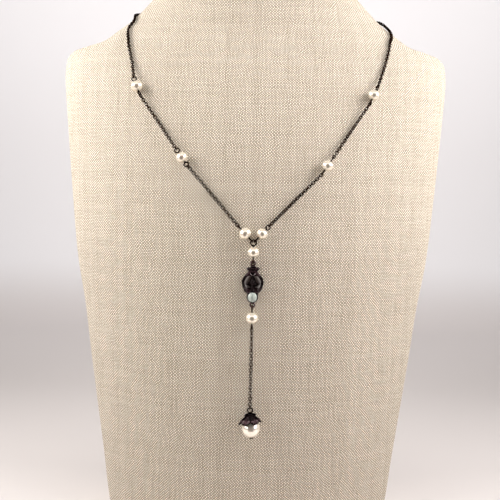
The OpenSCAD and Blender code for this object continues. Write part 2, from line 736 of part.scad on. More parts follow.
// Chain from the upper eye of a pearl up to the shoulder, coming down to the skin
// from the height of the pearl's hole
module top_chain(name, rows) {
    frame = pearl_frame(name);
    face = eye_face(frame, turns(name)[0]);
    rest = laid(rows, chain_lift);
    hook = hooked(along(frame, pin_reach), face, eye_r, rest[0]);
    chain(concat([hook], rest), face, undef, link_l / 2 + seat);
}

// Chain that hangs plumb from the last eye pin to the loop over the drop's cap
module drop_chain() {
    start = drop_eye - [0, 0, eye_r];
    end = drop_loop + [0, 0, loop_r];
    chain([start, end], eye_face(under_frame, TURN_DROP), [0, 1, 0], hook_step);
}

neck_bust();
top_chain("left_upper", RISE_LEFT);  // chain_left_top
side_chain("left_upper", "left_lower");  // chain_left_upper
side_chain("left_lower", "left_centre");  // chain_left_lower
top_chain("right_upper", RISE_RIGHT);  // chain_right_top
side_chain("right_upper", "right_lower");  // chain_right_upper
side_chain("right_lower", "right_centre");  // chain_right_lower
drop_chain();  // chain_drop
back_tube(-1);  // chain_back_left
back_tube(1);  // chain_back_right
clasp();
pearl("left_upper");  // pearl_left_upper
pearl("left_lower");  // pearl_left_lower
pearl("left_centre");  // pearl_left_centre
pearl("right_upper");  // pearl_right_upper
pearl("right_lower");  // pearl_right_lower
pearl("right_centre");  // pearl_right_centre
pearl("over_medallion");  // pearl_over_medallion
pearl("under_medallion");  // pearl_under_medallion
pearl_pin("left_upper");  // eyepin_left_upper
pearl_pin("left_lower");  // eyepin_left_lower
pearl_pin("left_centre");  // eyepin_left_centre
pearl_pin("right_upper");  // eyepin_right_upper
pearl_pin("right_lower");  // eyepin_right_lower
pearl_pin("right_centre");  // eyepin_right_centre
pearl_pin("over_medallion");  // eyepin_over_medallion
pearl_pin("under_medallion");  // eyepin_under_medallion
medallion();
medallion_stone();
drop_cap();
drop_pearl();
drop_pin();
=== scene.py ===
"""Lavaliere necklace on a linen neck bust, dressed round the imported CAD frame."""

from __future__ import annotations

import logging
import math
from dataclasses import dataclass, field
from enum import Enum

import bpy
import numpy as np
from mathutils import Matrix, Vector


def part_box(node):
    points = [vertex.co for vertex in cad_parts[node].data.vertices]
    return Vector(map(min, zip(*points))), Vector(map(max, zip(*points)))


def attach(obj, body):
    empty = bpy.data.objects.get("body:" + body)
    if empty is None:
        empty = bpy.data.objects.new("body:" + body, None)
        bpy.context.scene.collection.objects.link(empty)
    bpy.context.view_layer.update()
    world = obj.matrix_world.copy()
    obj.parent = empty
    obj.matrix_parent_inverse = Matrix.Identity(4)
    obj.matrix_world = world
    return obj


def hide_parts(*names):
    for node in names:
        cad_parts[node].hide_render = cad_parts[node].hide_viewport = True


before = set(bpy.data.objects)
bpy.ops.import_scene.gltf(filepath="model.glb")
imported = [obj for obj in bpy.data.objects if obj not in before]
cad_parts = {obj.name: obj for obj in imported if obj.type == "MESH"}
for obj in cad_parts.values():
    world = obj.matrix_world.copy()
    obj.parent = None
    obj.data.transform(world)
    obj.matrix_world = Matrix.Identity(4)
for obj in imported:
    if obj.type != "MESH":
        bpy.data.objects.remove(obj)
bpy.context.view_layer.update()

LOG = logging.getLogger("necklace")
MM = 0.001
Socket = bpy.types.NodeSocket
Place = tuple[float, float, float]
Outline = tuple[tuple[float, float], ...]


class Slot(Enum):
    """Material slots named when the added pieces are made; a piece given one rides on the root
    part.
    """

    LINEN = "linen"
    CHAIN = "chain_metal"
    CAST = "cast_metal"


class Side(Enum):
    """Side of the bust as seen from the front."""

    LEFT = -1
    RIGHT = 1


def linear(code: str) -> tuple[float, float, float, float]:
    """Turn an sRGB hex colour into Blender's linear colour.

    Args:
        code: Six hex digits, without a sign before them.

    Returns:
        Linear red, green, blue and an alpha of one.
    """
    parts = [int(code[k : k + 2], 16) / 255 for k in (0, 2, 4)]
    red, green, blue = (
        c / 12.92 if c <= 0.04045 else ((c + 0.055) / 1.055) ** 2.4 for c in parts
    )
    return red, green, blue, 1.0


def add_node(
    tree: bpy.types.NodeTree,
    kind: str,
    links: dict[str | int, Socket | float | tuple] | None = None,
    **settings: object,
) -> bpy.types.Node:
    """Add a node, set its properties, and fill or link its inputs.

    Args:
        tree: Node tree of a material or world.
        kind: Blender's name of the node's type.
        links: Input name or number to a socket to link, or a plain value to set.
        settings: Properties of the node itself.

    Returns:
        The new node.
    """
    node = tree.nodes.new(kind)
    for name, value in settings.items():
        setattr(node, name, value)
    for key, value in (links or {}).items():
        if isinstance(value, Socket):
            tree.links.new(value, node.inputs[key])
        else:
            node.inputs[key].default_value = value
    return node


@dataclass(frozen=True)
class Sums:
    """Short names for the sums, mixes and noises of one node tree."""

    tree: bpy.types.NodeTree

    def number(self, kind: str, *values: object) -> Socket:
        """Work one sum on numbers or sockets."""
        links = dict(enumerate(values))
        return add_node(self.tree, "ShaderNodeMath", links, operation=kind).outputs[0]

    def vector(self, kind: str, *values: object) -> Socket:
        """Work one sum on vectors."""
        links = dict(enumerate(values))
        return add_node(self.tree, "ShaderNodeVectorMath", links, operation=kind).outputs[0]

    def blend(self, share: object, low: object, high: object) -> Socket:
        """Mix two numbers by a share."""
        links = {0: share, 2: low, 3: high}
        return add_node(self.tree, "ShaderNodeMix", links, data_type="FLOAT").outputs[0]

    def colour(self, share: object, low: object, high: object, kind: str = "MIX") -> Socket:
        """Mix two colours by a share."""
        links = {0: share, 6: low, 7: high}
        node = add_node(self.tree, "ShaderNodeMix", links, data_type="RGBA", blend_type=kind)
        return node.outputs[2]

    def noise(self, place: object, scale: float, detail: float) -> bpy.types.Node:
        """Spread a noise over a place."""
        links = {"Vector": place, "Scale": scale, "Detail": detail}
        return add_node(self.tree, "ShaderNodeTexNoise", links)

    def ramp(self, share: object, *stops: tuple[float, str]) -> Socket:
        """Turn a number into a colour by stops of place and sRGB colour."""
        node = add_node(self.tree, "ShaderNodeValToRGB", {0: share})
        elements = node.color_ramp.elements
        elements[0].position, elements[1].position = stops[0][0], stops[-1][0]
        elements[0].color, elements[1].color = linear(stops[0][1]), linear(stops[-1][1])
        for position, code in stops[1:-1]:
            elements.new(position).color = linear(code)
        return node.outputs[0]

    def bump(self, height: object, distance: float, strength: float) -> Socket:
        """Tilt the surface by a height, its distance in millimetres."""
        links = {"Strength": strength, "Distance": distance * MM, "Height": height}
        return add_node(self.tree, "ShaderNodeBump", links).outputs[0]

    def spread(self, value: object, *ends: float, kind: str = "LINEAR") -> Socket:
        """Map a number from one range to another, by their low and high ends."""
        links = {0: value, **dict(enumerate(ends, 1))}
        return add_node(self.tree, "ShaderNodeMapRange", links, interpolation_type=kind).outputs[0]

    def millimetres(self) -> Socket:
        """Give the place on the piece in millimetres, for patterns of a real scale."""
        place = add_node(self.tree, "ShaderNodeTexCoord").outputs["Object"]
        scaled = add_node(self.tree, "ShaderNodeVectorMath", {0: place}, operation="SCALE")
        scaled.inputs["Scale"].default_value = 1 / MM
        return scaled.outputs[0]


def new_material(name: str) -> tuple[bpy.types.Material, Sums, bpy.types.Node]:
    """Make an empty node material.

    Args:
        name: Name of the finish.

    Returns:
        The material, the sums of its tree and its Principled shader.
    """
    material = bpy.data.materials.new(name)
    material.use_nodes = True
    tree = material.node_tree
    tree.nodes.clear()
    shader = add_node(tree, "ShaderNodeBsdfPrincipled")
    add_node(tree, "ShaderNodeOutputMaterial", {"Surface": shader.outputs["BSDF"]})
    return material, Sums(tree), shader


def finish_shader(shader: bpy.types.Node, **inputs: object) -> None:
    """Fill or link the shader's inputs.

    Args:
        shader: Principled shader.
        inputs: Input name, with underscores for its spaces, to a socket or value.
    """
    for key, value in inputs.items():
        socket = shader.inputs[key.replace("_", " ")]
        if isinstance(value, Socket):
            shader.id_data.links.new(value, socket)
        else:
            socket.default_value = value


@dataclass(frozen=True)
class WovenLinen:
    """Plain-woven linen: uneven bast threads, matt, with painted shade in the dark pores between
    them.

    It gives the eye pale dots in a brick pattern, streaked by thick and thin threads.
    The real threads lie 0.6 mm apart, finer than the picture can show, so they are
    drawn as coarse as the picture needs.
    """

    thread: str = "fdf6ea"
    under: str = "9d8f7a"
    pore_shade: str = "2e271e"
    pitch: float = 0.8
    wander: float = 2.4

    def build(self) -> bpy.types.Material:
        """Make the material, with the cloth's own millimetres as its coordinates.

        Returns:
            Material whose weave follows the mesh's cloth layer.
        """
        material, sums, shader = new_material("woven_linen")
        cloth = add_node(sums.tree, "ShaderNodeUVMap", uv_map="cloth").outputs[0]
        drift = sums.noise(cloth, 0.11, 3.0).outputs["Color"]
        centred = sums.vector("SUBTRACT", drift, (0.5, 0.5, 0.5))
        moved = sums.vector("MULTIPLY_ADD", centred, (self.wander,) * 3, cloth)
        counted = sums.vector("MULTIPLY", moved, (1 / self.pitch,) * 3)
        split = add_node(sums.tree, "ShaderNodeSeparateXYZ", {0: counted})
        sides = (split.outputs[0], split.outputs[1])
        sines = [sums.number("SINE", sums.number("MULTIPLY", side, math.pi)) for side in sides]
        waves = [sums.number("ABSOLUTE", sine) for sine in sines]
        cells = [sums.number("FLOOR", side) for side in sides]
        upright = sums.number("PINGPONG", sums.number("ADD", cells[0], cells[1]), 1.0)

        # The thread on top of each crossing is round across and arched along its way
        arches = [sums.number("MULTIPLY_ADD", wave, 0.55, 0.45) for wave in waves]
        threads = [sums.number("MULTIPLY", waves[k], arches[1 - k]) for k in (0, 1)]
        over = sums.blend(upright, threads[1], threads[0])

        # Each thread has its own tone, and slubs run along it
        tones = []
        for k, stretch in ((0, (1.0, 0.05, 1.0)), (1, (0.05, 1.0, 1.0))):
            links = {"W": sums.number("ADD", cells[k], 57.0 * k)}
            node = add_node(sums.tree, "ShaderNodeTexWhiteNoise", links, noise_dimensions="1D")
            shade = node.outputs[0]
            slub = sums.noise(sums.vector("MULTIPLY", counted, stretch), 0.9, 2.0).outputs[0]
            tones.append(sums.number("MULTIPLY_ADD", shade, 0.3, slub))
        tone = sums.blend(upright, tones[1], tones[0])

        # The lengthways thread stands proud of the crossways one and catches more light, so the
        # crossways thread is painted darker: painted shade
        proud = sums.blend(upright, 0.42, 1.0)
        light = sums.number("MULTIPLY", over, sums.number("MULTIPLY_ADD", tone, 0.7, 0.5))
        shown = sums.number("MULTIPLY", light, proud)
        # Painted shade: by the thread's height the colour runs from dark in the gaps, through the
        # under tone of its flanks, to its pale top
        weave_tone_and_shade = sums.ramp(shown, (0.04, self.pore_shade), (0.26, self.under), (0.7, self.thread))
        blotch = sums.noise(cloth, 0.035, 4.0).outputs[0]
        tinted = sums.colour(
            sums.number("MULTIPLY", blotch, 0.14), weave_tone_and_shade, linear("c9b99f"), "MULTIPLY"
        )
        finish_shader(
            shader,
            Base_Color=tinted,
            Normal=sums.bump(sums.number("MULTIPLY", over, proud), 0.3, 0.85),
            Roughness=0.92,
            IOR=1.5,
            Specular_IOR_Level=0.2,
            Sheen_Weight=0.15,
            Sheen_Roughness=0.5,
            Sheen_Tint=linear("fff4e6"),
        )
        return material


@dataclass(frozen=True)
class PlatedBrass:
    """Brass with a dark antique plating: worn highs catch the light, recesses stay black."""

    name: str
    body: str
    worn: str
    dark: str
    roughness: float
    patch: float
    grain: float
    relief: bool = False
    glance: str = "75655a"

    def build(self) -> bpy.types.Material:
        """Make the plated metal.

        Returns:
            Material that reads the mesh's wear layer where it has one.
        """
        material, sums, shader = new_material(self.name)
        place = sums.millimetres()
        patches = sums.noise(place, 1 / self.patch, 5.0).outputs[0]
        fine = sums.noise(place, 1 / self.grain, 3.0).outputs[0]
        colour = sums.ramp(patches, (0.36, self.dark), (0.5, self.body), (0.72, self.worn))
        if self.relief:
            wear = add_node(sums.tree, "ShaderNodeAttribute", attribute_name="wear").outputs["Fac"]
            tone = sums.ramp(wear, (0.12, self.dark), (0.5, self.body), (0.9, self.worn))
            colour = sums.colour(0.1, tone, colour)
        finish_shader(
            shader,
            Base_Color=colour,
            Roughness=sums.spread(patches, 0.3, 0.7, self.roughness - 0.08, self.roughness + 0.12),
            Normal=sums.bump(fine, 0.05, 0.25),
            Metallic=1.0,
            Specular_Tint=linear(self.glance),
        )
        return material


@dataclass(frozen=True)
class PearlLustre:
    """Nacre: soft cream body under a clear lustre that mirrors the lights."""

    name: str
    body: str
    blush: str
    rim: str
    size: float

    def build(self) -> bpy.types.Material:
        """Make the nacre.

        Returns:
            Material with a milky body, faint blush, a creamier edge that is partly painted shade,
            and a glossy coat.
        """
        material, sums, shader = new_material(self.name)
        place = sums.millimetres()
        cloud = sums.noise(place, 1.6 / self.size, 2.0).outputs[0]
        # Towards the edges, as the camera sees them, the colour turns to the creamier rim tone:
        # the nacre's own cream, and painted shade at the edge
        facing = add_node(sums.tree, "ShaderNodeLayerWeight", {"Blend": 0.35}).outputs["Facing"]
        base = sums.colour(cloud, linear(self.body), linear(self.blush))
        # Growth ripples of nacre are finer than the picture, drawn at a third of a millimetre
        ripple = sums.noise(place, 3.0, 2.0).outputs[0]
        # The lustre mirrors most where the layers are looked at straight on
        mirror = sums.blend(facing, 0.74, 0.1)
        finish_shader(
            shader,
            Base_Color=sums.colour(facing, base, linear(self.rim)),
            Normal=sums.bump(ripple, 0.04, 0.05),
            Metallic=mirror,
            Roughness=0.14,
            IOR=1.53,
            Subsurface_Weight=0.2,
            Subsurface_Radius=(1.0, 0.75, 0.6),
            Subsurface_Scale=1.2 * MM,
            Coat_Weight=1.0,
            Coat_Roughness=0.04,
            Coat_IOR=1.75,
        )
        return material


@dataclass(frozen=True)
class PolishedStone:
    """Grey-green cabochon of a veined stone, cut round and polished to a gloss."""

    pale: str = "a7aea7"
    deep: str = "7d8681"
    vein: str = "bec4bc"

    def build(self) -> bpy.types.Material:
        """Make the stone.

        Returns:
            Glossy material with faint slanting streaks.
        """
        material, sums, shader = new_material("polished_stone")
        links = {"Rotation": (0.0, math.radians(38), 0.0), "Scale": (0.9, 0.9, 0.22)}
        links["Vector"] = sums.millimetres()
        slant = add_node(sums.tree, "ShaderNodeMapping", links).outputs[0]
        streak = sums.noise(slant, 1.5, 4.0).outputs[0]
        finish_shader(
            shader,
            Base_Color=sums.ramp(streak, (0.34, self.deep), (0.52, self.pale), (0.7, self.vein)),
            Roughness=0.12,
            IOR=1.54,
            Subsurface_Weight=0.2,
            Subsurface_Radius=(0.9, 1.0, 0.8),
            Subsurface_Scale=1.0 * MM,
            Coat_Weight=0.3,
            Coat_Roughness=0.04,
        )
        return material


@dataclass(frozen=True)
class MattPaper:
    """Seamless paper of a photo table: matt and even, with painted shade that greys it where it
    lies flat.
    """

    upright: str = "eeedee"
    flat: str = "d7d2d0"

    def build(self) -> bpy.types.Material:
        """Make the paper.

        Returns:
            Matt material with a faint unevenness.
        """
        material, sums, shader = new_material("seamless_paper_painted_shade")
        place = add_node(sums.tree, "ShaderNodeTexCoord").outputs["Object"]
        cloud = sums.noise(place, 2.0, 2.0).outputs[0]
        # Painted shade: on the table and up to a tenth of a metre up the bend, the paper is drawn
        # greyer
        height = add_node(sums.tree, "ShaderNodeSeparateXYZ", {0: place}).outputs[2]
        raised = sums.spread(height, 0.0, 0.1, kind="SMOOTHSTEP")
        paper = sums.colour(raised, linear(self.flat), linear(self.upright))
        mottled_and_shaded = sums.colour(sums.number("MULTIPLY", cloud, 0.06), paper, linear(self.flat))
        finish_shader(shader, Base_Color=mottled_and_shaded, Roughness=0.95, Specular_IOR_Level=0.1)
        return material


@dataclass(frozen=True)
class DimRoomReflection:
    """Dark brown sheet, a painted reflection of the dim room: glossy surfaces see it and get
    little back from it.
    """

    shade: str = "33221a"

    def build(self) -> bpy.types.Material:
        """Make the cloth.

        Returns:
            Dark matt material with a faint mottle.
        """
        material, sums, shader = new_material("dim_room_reflection")
        place = add_node(sums.tree, "ShaderNodeTexCoord").outputs["Object"]
        mottle = sums.noise(place, 40.0, 2.0).outputs[0]
        colour = sums.colour(mottle, linear(self.shade), linear("48352b"))
        finish_shader(shader, Base_Color=colour, Roughness=1.0, Specular_IOR_Level=0.05)
        return material


class Finishes:
    """All finishes of the piece, each built once."""

    def __init__(self) -> None:
        """Build every material."""
        self.linen = WovenLinen().build()
        self.paper = MattPaper().build()
        self.flag = DimRoomReflection().build()
        self.chain = PlatedBrass(
            "antique_bronze_chain", "1d100b", "3f271c", "0b0604", 0.34, 1.4, 0.12
        ).build()
        self.pin = PlatedBrass(
            "gunmetal_wire", "1d1410", "40312a", "0c0807", 0.26, 1.8, 0.1
        ).build()
        self.cast = PlatedBrass(
            "antiqued_casting", "4a353b", "9a9794", "0a0706", 0.33, 1.2, 0.14, True, "544c46"
        ).build()
        self.pearl = PearlLustre("cream_nacre", "f5ecda", "f3e8d6", "eee1c9", 6.2).build()
        self.drop_pearl = PearlLustre("rosy_nacre", "fbf4e6", "f9efe2", "eee2ce", 10.1).build()
        self.stone = PolishedStone().build()


@dataclass
class Builder:
    """Something that is built with the shared finishes."""

    finishes: Finishes


def make_piece(
    name: str,
    points: np.ndarray,
    faces: np.ndarray | list,
    material: bpy.types.Material,
    slot: Slot | None = None,
    wear: np.ndarray | None = None,
) -> bpy.types.Object:
    """Make a mesh piece from points in millimetres and, unless it belongs to the stage, let it
    ride on the part.

    Args:
        name: Name of the piece.
        points: One row of x, y, z a point.
        faces: Rows of point numbers.
        material: Finish of the piece.
        slot: Slot of the piece, or None for a piece of the stage, which rides on no part.
        wear: Share of wear at each point, read by a plated finish.

    Returns:
        The new object.
    """
    mesh = bpy.data.meshes.new(name)
    rows = faces.tolist() if isinstance(faces, np.ndarray) else faces
    mesh.from_pydata((np.asarray(points) * MM).tolist(), [], rows)
    mesh.polygons.foreach_set("use_smooth", [True] * len(mesh.polygons))
    if wear is not None:
        layer = mesh.attributes.new("wear", "FLOAT", "POINT")
        layer.data.foreach_set("value", np.asarray(wear, np.float32))
    mesh.materials.append(material)
    mesh.validate()
    mesh.update()
    piece = bpy.data.objects.new(name, mesh)
    bpy.context.scene.collection.objects.link(piece)
    if slot is not None:
        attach(piece, "root")
    LOG.info("%s: %d faces", name, len(mesh.polygons))
    return piece


def node_box(name: str) -> tuple[np.ndarray, np.ndarray]:
    """Give the lowest and highest corner of a CAD node in millimetres."""
    low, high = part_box(name)
    return np.array(low) / MM, np.array(high) / MM


def grid_faces(
    rows: int, columns: int, loop_rows: bool = False, loop: bool = False
) -> np.ndarray:
    """Number the quads of a grid of points.

    Args:
        rows: Rows of points.
        columns: Points in each row.
        loop_rows: Whether the last row joins the first.
        loop: Whether the last column joins the first.

    Returns:
        One row of four point numbers a quad.
    """
    down = rows if loop_rows else rows - 1
    across = columns if loop else columns - 1
    r, c = np.meshgrid(np.arange(down), np.arange(across), indexing="ij")
    below = (r + 1) % rows * columns
    here = r * columns
    corners = [here + c, here + (c + 1) % columns, below + (c + 1) % columns, below + c]
    return np.stack([corner.ravel() for corner in corners], axis=1)


def catmull(points: np.ndarray, steps: int) -> np.ndarray:
    """Run a smooth curve through points.

    Args:
        points: Points to pass, in order.
        steps: Pieces from each point to the next.

    Returns:
        Points of the curve.
    """
    ends = np.concatenate([[2 * points[0] - points[1]], points, [2 * points[-1] - points[-2]]])
    u = (np.arange(steps) / steps)[:, None]
    parts = []
    for k in range(len(points) - 1):
        a, b, c, d = ends[k : k + 4]
        bend = (2 * a - 5 * b + 4 * c - d) + u * (3 * (b - c) + d - a)
        parts.append(b + 0.5 * u * ((c - a) + u * bend))
    return np.concatenate([*parts, points[-1:]])


@dataclass(frozen=True)
class BustForm:
    """Skin of the neck bust, from the same sections as the CAD solid."""

    height: float = 350.0
    width: float = 236.4
    depth: float = 128.0
    chest_y: float = field(default_factory=lambda: float(node_box("neck_bust")[0][1]))
    # Share of height, half width, front, front and back edge of the side, back, edge
    sections: tuple[tuple[float, ...], ...] = (
        (0, 0.68, 0.100, 0.330, 0.700, 0.825, 1.70),
        (0.006, 0.692, 0.090, 0.328, 0.704, 0.830, 1.70),
        (0.129, 0.743, 0.038, 0.315, 0.734, 0.867, 1.70),
        (0.286, 0.807, 0.008, 0.312, 0.758, 0.898, 1.70),
        (0.374, 0.842, 0.003, 0.320, 0.766, 0.914, 1.70),
        (0.457, 0.885, 0, 0.328, 0.773, 0.922, 1.70),
        (0.571, 0.924, 0.023, 0.359, 0.789, 0.930, 1.65),
        (0.671, 0.958, 0.078, 0.406, 0.789, 0.930, 1.50),
        (0.737, 0.983, 0.137, 0.453, 0.781, 0.922, 1.32),
        (0.774, 0.997, 0.180, 0.496, 0.758, 0.918, 1.17),
        (0.800, 1, 0.215, 0.543, 0.719, 0.914, 1.06),
        (0.817, 0.975, 0.238, 0.582, 0.680, 0.914, 1),
        (0.8245, 0.908, 0.248, 0.609, 0.645, 0.914, 0.83),
        (0.832, 0.835, 0.258, 0.622, 0.628, 0.916, 0.75),
        (0.854, 0.753, 0.277, 0.630, 0.636, 0.926, 0.85),
        (0.880, 0.666, 0.291, 0.638, 0.644, 0.941, 1.04),
        (0.909, 0.582, 0.302, 0.645, 0.651, 0.965, 1),
        (0.937, 0.512, 0.309, 0.653, 0.659, 0.984, 1),
        (0.966, 0.461, 0.309, 0.653, 0.659, 0.996, 1),
        (0.994, 0.450, 0.305, 0.653, 0.659, 1, 1),
        (1, 0.437, 0.318, 0.653, 0.659, 0.988, 1),
    )

    def value(self, column: int, z: np.ndarray | float) -> np.ndarray:
        """Read a column of the sections on a smooth curve that never overshoots.

        Args:
            column: Column of the sections.
            z: Heights in millimetres.

        Returns:
            The column's value at each height.
        """
        table = np.array(self.sections)
        keys, values = table[:, 0], table[:, column]
        share = np.asarray(z, float) / self.height
        k = np.clip(np.searchsorted(keys, share, side="right") - 1, 0, len(keys) - 2)
        step = np.diff(keys)
        rise = np.diff(values) / step
        both, total = rise[:-1] * rise[1:], rise[:-1] + rise[1:]
        inner = np.where(both > 0, 2 * both / np.where(total == 0, 1, total), 0)
        slope = np.concatenate([rise[:1], inner, rise[-1:]])
        u = np.clip((share - keys[k]) / step[k], 0, 1)
        return (
            (2 * u**3 - 3 * u**2 + 1) * values[k]
            + (u**3 - 2 * u**2 + u) * step[k] * slope[k]
            + (3 * u**2 - 2 * u**3) * values[k + 1]
            + (u**3 - u**2) * step[k] * slope[k + 1]
        )

    def skin(self, angle: np.ndarray | float, z: np.ndarray | float) -> np.ndarray:
        """Find points of the skin.

        Args:
            angle: Degrees round the bust, 0 at the chest and 180 at the back.
            z: Heights in millimetres.

        Returns:
            Points in millimetres, x, y, z in the last axis.
        """
        angle, z = np.broadcast_arrays(np.asarray(angle, float), np.asarray(z, float))
        edge = np.abs(np.cos(np.radians(angle))) ** self.value(6, z)
        side_front, side_back = self.value(3, z), self.value(4, z)
        y = np.where(
            np.abs(angle) <= 90,
            side_front - (side_front - self.value(2, z)) * edge,
            side_back + (self.value(5, z) - side_back) * edge,
        )
        x = self.value(1, z) * self.width / 2 * np.sin(np.radians(angle))
        return np.stack([x, self.chest_y + y * self.depth, z], axis=-1)

    def outward(self, angle: float, z: float) -> np.ndarray:
        """Give the way out of the skin at an angle and a height."""
        across = self.skin(angle + 1, z) - self.skin(angle - 1, z)
        up = self.skin(angle, z + 0.5) - self.skin(angle, z - 0.5)
        way = np.cross(across, up)
        return way / np.linalg.norm(way)

    def lay(self, angle: float, z: float, lift: float) -> np.ndarray:
        """Find the point at a lift over the skin."""
        return self.skin(angle, z) + lift * self.outward(angle, z)


@dataclass
class NeckBust(Builder):
    """Foam form under stretched linen."""

    form: BustForm = field(default_factory=BustForm)
    step: float = 2.2
    across: int = 104
    strip: int = 14
    # Steps from the outline inwards over each end, and how far off the ends' cloth is cut
    cap_shares: tuple[float, ...] = (0.93, 0.75, 0.5, 0.25, 0.02)
    cap_cloth: float = 400.0

    def ring(self, z: float) -> np.ndarray:
        """Walk once round the bust at a height, from the middle of the back.

        Args:
            z: Height in millimetres.

        Returns:
            Points of the ring, first and last at the same place.
        """
        half = np.linspace(-90, 90, self.across)
        front = self.form.skin(half, z)
        back = self.form.skin(180 - half, z)
        # At 90 degrees the skin gives the front edge of the side, so the back one is mirrored
        back[-1] = back[0] * np.array([-1, 1, 1])
        middle = self.across // 2
        share = np.linspace(0, 1, self.strip + 2)[1:-1, None]
        left = back[0] + (front[0] - back[0]) * share
        right = front[-1] + (back[-1] - front[-1]) * share
        return np.concatenate([back[middle::-1], left, front, right, back[: middle - 1 : -1]])

    def build(self) -> None:
        """Build the linen cover over the CAD solid."""
        count = int(self.form.height / self.step)
        levels = np.linspace(0, self.form.height, count + 1)
        rings = np.array([self.ring(z) for z in levels])
        rows, columns = rings.shape[:2]
        points = rings.reshape(-1, 3)
        faces = grid_faces(rows, columns).tolist()
        # Threads run round the bust and up it, counted from the middle of the chest
        gaps = np.linalg.norm(np.diff(rings, axis=1), axis=2)
        around = np.concatenate([np.zeros((rows, 1)), np.cumsum(gaps, axis=1)], axis=1)
        foot = rings[0]
        middle = int(np.argmin(np.where(foot[:, 1] > 0, np.inf, np.abs(foot[:, 0]))))
        around -= around[:, middle : middle + 1]
        lifts = np.linalg.norm(np.diff(rings, axis=0)[:, :, 1:], axis=2)
        upward = np.concatenate([np.zeros((1, columns)), np.cumsum(lifts, axis=0)], axis=0)
        cloth = np.stack([around, upward], axis=2).reshape(-1, 2)

        caps_points, caps_cloth = [], []
        for level, turn in ((0, -1), (rows - 1, 1)):
            outer = rings[level]
            centre = outer.mean(axis=0)
            start = level * columns
            for share in self.cap_shares:
                inner = centre + (outer - centre) * share
                base = len(points) + sum(len(p) for p in caps_points)
                caps_points.append(inner)
                caps_cloth.append(inner[:, :2] + self.cap_cloth * turn)
                for c in range(columns - 1):
                    quad = [start + c, start + c + 1, base + c + 1, base + c]
                    faces.append(quad[::turn])
                start = base
            faces.append(list(range(start, start + columns - 1))[::turn])
        points = np.concatenate([points, *caps_points])
        cloth = np.concatenate([cloth, *caps_cloth])
        piece = make_piece("bust_cover", points, faces, self.finishes.linen, Slot.LINEN)
        mesh = piece.data
        layer = mesh.uv_layers.new(name="cloth")
        corners = np.empty(len(mesh.loops), int)
        mesh.loops.foreach_get("vertex_index", corners)
        layer.data.foreach_set("uv", cloth[corners].astype(np.float32).ravel())
        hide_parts("neck_bust")


@dataclass
class BackChain(Builder):
    """Cable chain over the shoulder and round the nape, link through link."""

    side: Side
    # Degrees round the bust and share of its height, over the shoulder and round the neck
    route: Outline
    rest: Outline = ((139, 0.89), (152, 0.885), (165, 0.8795))
    form: BustForm = field(default_factory=BustForm)
    link_l: float = 2.78
    link_w: float = 2.1
    wire: float = 0.52
    play: float = 0.14
    seat: float = 0.2
    clasp_l: float = 10.0
    nape: float = 0.877
    stride: float = 0.44

    def link(self) -> tuple[np.ndarray, np.ndarray]:
        """Build one oval link about the origin, long way along z.

        Returns:
            Points and quads of the link.
        """
        around, sides = 24, 10
        bend, straight = (self.link_w - self.wire) / 2, (self.link_l - self.link_w) / 2
        turns = 2 * np.pi * np.arange(around) / around
        level = np.zeros(around)
        way = np.stack([np.cos(turns), level, np.sin(turns)], axis=1)
        lift = np.where(np.sin(turns) >= 0, straight, -straight)
        line = bend * way + np.stack([level, level, lift], axis=1)
        tube = 2 * np.pi * np.arange(sides) / sides
        points = (
            line[:, None]
            + self.wire / 2 * np.cos(tube)[None, :, None] * way[:, None]
            + self.wire / 2 * np.sin(tube)[None, :, None] * np.array([0, 1, 0])
        )
        return points.reshape(-1, 3), grid_faces(around, sides, True, True)

    def build(self) -> None:
        """Lay the links from the shown chain's last link to the clasp."""
        lift = self.link_w / 2 + 1.5 * self.seat
        height = self.form.height
        nape_w = float(self.form.value(1, self.nape * height)) * self.form.width / 2
        stop = 180 - math.degrees(math.asin((self.clasp_l / 2 + self.seat) / nape_w))
        way_round = [*self.route, *self.rest, (stop, self.nape)]
        laid = [self.form.lay(self.side.value * a, share * height, lift) for a, share in way_round]
        curve = catmull(np.array(laid), 12)
        runs = np.concatenate([[0], np.cumsum(np.linalg.norm(np.diff(curve, axis=0), axis=1))])
        pitch = self.link_l - 2 * self.wire - self.play
        first = pitch - self.link_l / 2 - self.seat
        last = runs[-1] - self.link_l / 2 - self.seat
        count = int(math.ceil((last - first) / pitch)) + 1
        base, quads = self.link()
        points, faces = [], []
        for k in range(count):
            s = first + (last - first) * k / (count - 1)
            at, before, after = (
                np.array([np.interp(t, runs, curve[:, j]) for j in range(3)])
                for t in (s, s - self.stride, s + self.stride)
            )
            way = (after - before) / np.linalg.norm(after - before)
            off = at - np.array([0, self.form.chest_y + self.form.depth / 2, at[2]])
            face = off - (off @ way) * way
            face /= np.linalg.norm(face)
            across = np.cross(face, way)
            turn = math.radians(45 + 90 * k)
            flat = math.cos(turn) * across + math.sin(turn) * face
            points.append(at + base @ np.array([flat, np.cross(way, flat), way]))
            faces.append(quads + k * len(base))
        side = self.side.name.lower()
        name, chain = f"chain_links_back_{side}", self.finishes.chain
        piece = make_piece(name, np.concatenate(points), np.concatenate(faces), chain, Slot.CHAIN)
        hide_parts(f"chain_back_{side}")


def inside(u: np.ndarray, v: np.ndarray, rows: np.ndarray) -> np.ndarray:
    """Measure how far points lie inside a closed outline.

    Args:
        u: Places across.
        v: Places up.
        rows: Corners of the outline.

    Returns:
        Distance to the outline, positive inside it and negative outside.
    """
    nearest = np.full(u.shape, np.inf)
    within = np.zeros(u.shape, bool)
    for (ax, ay), (bx, by) in zip(rows, np.roll(rows, -1, axis=0)):
        dx, dy = bx - ax, by - ay
        share = ((u - ax) * dx + (v - ay) * dy) / max(dx * dx + dy * dy, 1e-12)
        share = np.clip(share, 0, 1)
        nearest = np.minimum(nearest, np.hypot(u - ax - share * dx, v - ay - share * dy))
        if dy:
            within ^= ((ay > v) != (by > v)) & (u < ax + (v - ay) * dx / dy)
    return np.where(within, nearest, -nearest)


